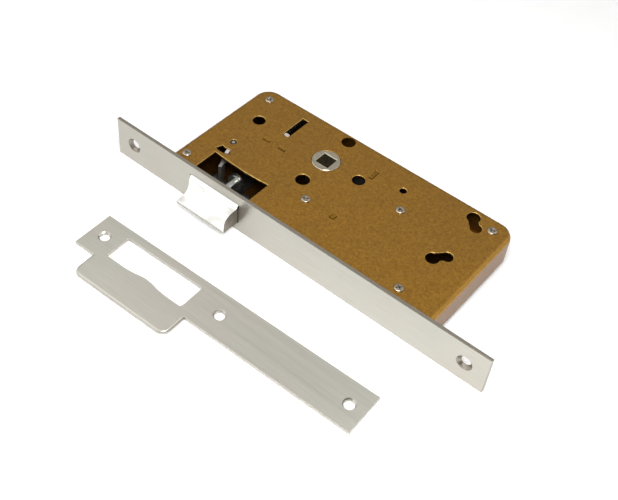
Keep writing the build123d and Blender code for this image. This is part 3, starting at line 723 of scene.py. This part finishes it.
def make_cap_screws():
    """Six pan-head screws; each is turned a little differently, as an assembler leaves them."""
    low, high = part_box("cap_screws")
    centres = screw_centres()
    one = one_screw(min(centre.x for centre in centres) - low.x, low.z, high.z)
    together = bmesh.new()
    for i, centre in enumerate(centres):
        turned = one.copy()
        turned.transform(Matrix.Translation((*centre, 0)) @ Matrix.Rotation(SCREW_TURN * i, 4, "Z"))
        together.from_mesh(turned)
        bpy.data.meshes.remove(turned)
    bpy.data.meshes.remove(one)
    screws = helper_object("screws", together)
    screws.data.set_sharp_from_angle(angle=SCREW_SMOOTH_ANGLE)
    mesh = baked_mesh(screws)
    new_piece("cap_screws_pan_head", mesh, SCREW_ZINC, "lock_case", "cap_screws")


# ---------------------------------------------------------------- springs

WIRE_R = 0.4 * MM
WIRE_THICKNESS = 2 * WIRE_R
POINTS_PER_TURN = 30
CARRIAGE_SPRING_TURNS = 9
FOLLOWER_SPRING_TURNS = 10


def coil_rise(turn, turns, pitch):
    """How far a coil has risen after some of its turns: the first and the last lie wire on wire."""
    first = min(turn, 1)
    last = max(turn - turns + 1, 0)
    between = min(max(turn - 1, 0), turns - 2)
    return WIRE_THICKNESS * first + pitch * between + WIRE_THICKNESS * last


def make_spring(name, node, body, turns):
    """A compression spring along Y with one dead turn at each end."""
    low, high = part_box(node)
    middle = (low + high) / 2
    coil_r = (high.x - low.x) / 2 - WIRE_R
    pitch = (high.y - low.y - 3 * WIRE_THICKNESS) / (turns - 2)
    curve = bpy.data.curves.new(name, "CURVE")
    curve.dimensions = "3D"
    curve.bevel_depth = WIRE_R
    curve.bevel_resolution = 3
    curve.use_fill_caps = True
    spline = curve.splines.new("POLY")
    spline.points.add(turns * POINTS_PER_TURN)
    for i, point in enumerate(spline.points):
        turn = i / POINTS_PER_TURN
        angle = 2 * math.pi * turn
        x = middle.x + coil_r * math.cos(angle)
        y = low.y + WIRE_R + coil_rise(turn, turns, pitch)
        z = middle.z + coil_r * math.sin(angle)
        point.co = (x, y, z, 1)
    coil = bpy.data.objects.new(name + "_line", curve)
    bpy.context.scene.collection.objects.link(coil)
    mesh = baked_mesh(coil)
    mesh.shade_smooth()
    return new_piece(name, mesh, SPRING_WIRE, body, node)


def make_springs():
    """Both springs, each given a mesh of its own."""
    carriage = make_spring("carriage_spring_coil", "carriage_spring", "lock_case", CARRIAGE_SPRING_TURNS)
    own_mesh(carriage)
    follower = make_spring("follower_spring_coil", "follower_spring", "lock_case", FOLLOWER_SPRING_TURNS)
    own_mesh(follower)


make_latch_head()
make_cap_screws()
make_springs()


# ---------------------------------------------------------------- camera and light

CAMERA_TARGET = Vector((0.0203, -0.0556, 0.0))
CAMERA_DISTANCE = 0.4897
CAMERA_AZIMUTH = math.radians(35.78)
CAMERA_ELEVATION = math.radians(47.76)
CAMERA_ROLL = math.radians(5.34)
CAMERA_LENS = 57.86
CAMERA_SHIFT = (0.0351, -0.0037)
CAMERA_NEAR = 0.01
CAMERA_FAR = 20
ROOM_LIGHT = 0.26
FLOOR_HALF_SIZE = 6


def direction(azimuth, elevation):
    """The way to a place at these angles, in radians; azimuth 0 is in front and a quarter turn at +X."""
    return Vector((
        math.sin(azimuth) * math.cos(elevation),
        -math.cos(azimuth) * math.cos(elevation),
        math.sin(elevation),
    ))


def make_camera():
    """The camera looks down at the lock from in front and to the right, and leans a little."""
    back = direction(CAMERA_AZIMUTH, CAMERA_ELEVATION)
    camera = bpy.data.objects.new("camera", bpy.data.cameras.new("camera"))
    bpy.context.scene.collection.objects.link(camera)
    camera.rotation_mode = "QUATERNION"
    camera.location = CAMERA_TARGET + back * CAMERA_DISTANCE
    camera.rotation_quaternion = (-back).to_track_quat("-Z", "Y") @ Quaternion((0, 0, 1), CAMERA_ROLL)
    camera.data.lens = CAMERA_LENS
    camera.data.shift_x, camera.data.shift_y = CAMERA_SHIFT
    camera.data.clip_start = CAMERA_NEAR
    camera.data.clip_end = CAMERA_FAR
    bpy.context.scene.camera = camera


def soft_box(name, azimuth, elevation, distance, size, radiance):
    """A square soft box that faces the object; its angles are in degrees."""
    data = bpy.data.lights.new(name, "AREA")
    data.size = size
    data.energy = radiance * math.pi * size ** 2
    light = bpy.data.objects.new(name, data)
    bpy.context.scene.collection.objects.link(light)
    way = direction(math.radians(azimuth), math.radians(elevation))
    light.location = CAMERA_TARGET + way * distance
    light.rotation_mode = "QUATERNION"
    light.rotation_quaternion = (-way).to_track_quat("-Z", "Y")


def make_light():
    """A dim even room, with soft boxes at the left front, behind, at the right rear and near the lock."""
    world = bpy.data.worlds.new("world")
    bpy.context.scene.world = world
    world.use_nodes = True
    background = world.node_tree.nodes["Background"]
    background.inputs["Color"].default_value = (1.0, 0.995, 0.98, 1)
    background.inputs["Strength"].default_value = ROOM_LIGHT
    soft_box("left_box", azimuth=-52, elevation=42, distance=1.2, size=1.7, radiance=1.3)
    soft_box("back_box", azimuth=208, elevation=52, distance=1.3, size=1.3, radiance=0.46)
    soft_box("end_box", azimuth=140, elevation=35, distance=1.2, size=0.9, radiance=0.9)
    soft_box("near_lamp", azimuth=45, elevation=60, distance=0.38, size=0.2, radiance=12.0)


def make_floor():
    """A table top under the lowest point of the parts."""
    grid = bmesh.new()
    bmesh.ops.create_grid(grid, x_segments=1, y_segments=1, size=FLOOR_HALF_SIZE)
    floor = helper_object("floor", grid)
    floor.location.z = cad_box[0].z
    dress(floor, floor_material())


make_camera()
make_light()
make_floor()
bpy.context.scene.view_settings.view_transform = "Standard"
